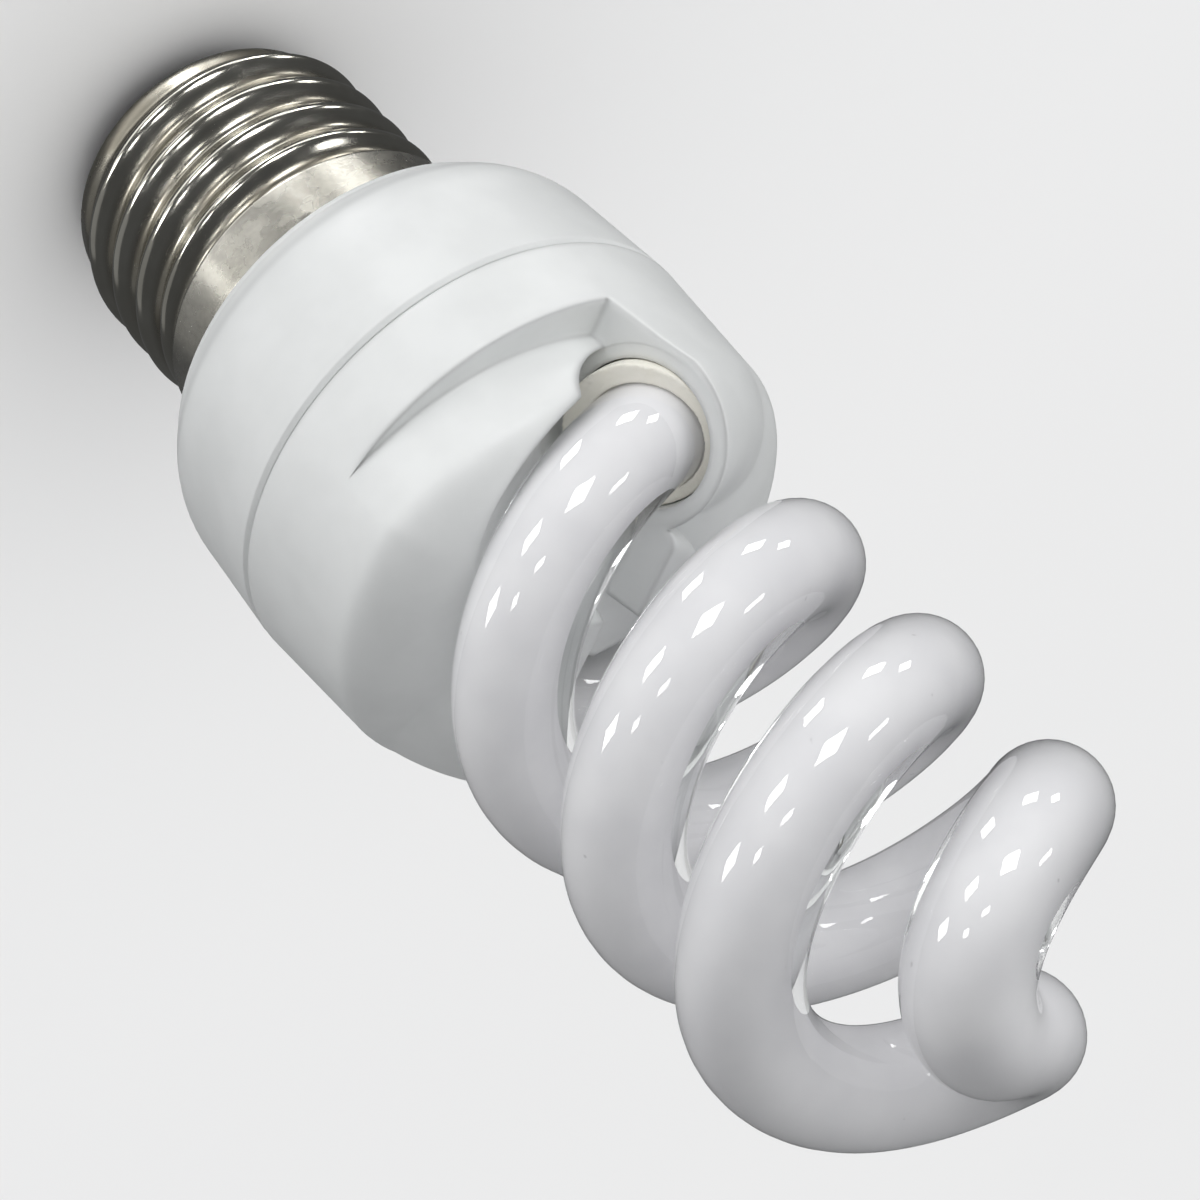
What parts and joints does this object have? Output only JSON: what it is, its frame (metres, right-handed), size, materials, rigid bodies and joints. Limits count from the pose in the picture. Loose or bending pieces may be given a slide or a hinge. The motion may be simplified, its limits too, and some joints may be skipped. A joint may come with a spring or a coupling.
{
  "type": "spiral energy saving bulb",
  "caption": "Screw-cap energy saving lamp: a double spiral of white coated glass tube rises out of a scooped white plastic housing that holds its electronic ballast.",
  "frame": {"origin": "centre of the contact's face at the end of the screw cap", "axes": "+Z along the lamp's axis from the cap to the glass tip; -Y points to the side the picture shows"},
  "size_m": [0.0384, 0.0384, 0.1005],
  "materials": {
    "cap_metal": "bright nickel plate, scuffed",
    "contact_metal": "tinned",
    "cap_glass": "black glass",
    "housing_plastic": "satin moulding",
    "cover_plastic": "satin moulding",
    "tube_glass": "glossy glass, white coated inside",
    "cement": "matt",
    "board": "satin",
    "can_sleeve": "shrunk sleeve",
    "ferrite": "sintered",
    "copper_wire": "enamelled",
    "black_moulding": "matt",
    "film_coat": "dipped",
    "resistor_coat": "lacquered",
    "tinned_wire": "tinned",
    "live_sleeve": "insulated wire",
    "neutral_sleeve": "insulated wire"
  },
  "bodies": {
    "root": {"cap_shell": "cap_metal", "cap_insulator": "cap_glass", "centre_contact": "contact_metal", "lower_housing": "housing_plastic", "upper_cover": "cover_plastic", "spiral_tube": "tube_glass", "front_cement": "cement", "rear_cement": "cement", "circuit_board": "board", "smoothing_capacitor": "can_sleeve", "choke_core": "ferrite", "choke_winding": "copper_wire", "drive_ring": "ferrite", "drive_winding_1": "copper_wire", "drive_winding_2": "copper_wire", "drive_winding_3": "copper_wire", "transistor_1": "black_moulding", "transistor_2": "black_moulding", "film_capacitor_1": "film_coat", "film_capacitor_2": "film_coat", "rectifier_diode_1": "black_moulding", "rectifier_diode_2": "black_moulding", "rectifier_diode_3": "black_moulding", "rectifier_diode_4": "black_moulding", "fuse_resistor": "resistor_coat", "lamp_pin_1": "tinned_wire", "lamp_pin_2": "tinned_wire", "lamp_pin_3": "tinned_wire", "lamp_pin_4": "tinned_wire", "electrode_lead_1": "tinned_wire", "electrode_lead_2": "tinned_wire", "electrode_lead_3": "tinned_wire", "electrode_lead_4": "tinned_wire", "live_wire": "live_sleeve", "neutral_wire": "neutral_sleeve"}
  },
  "joints": []
}
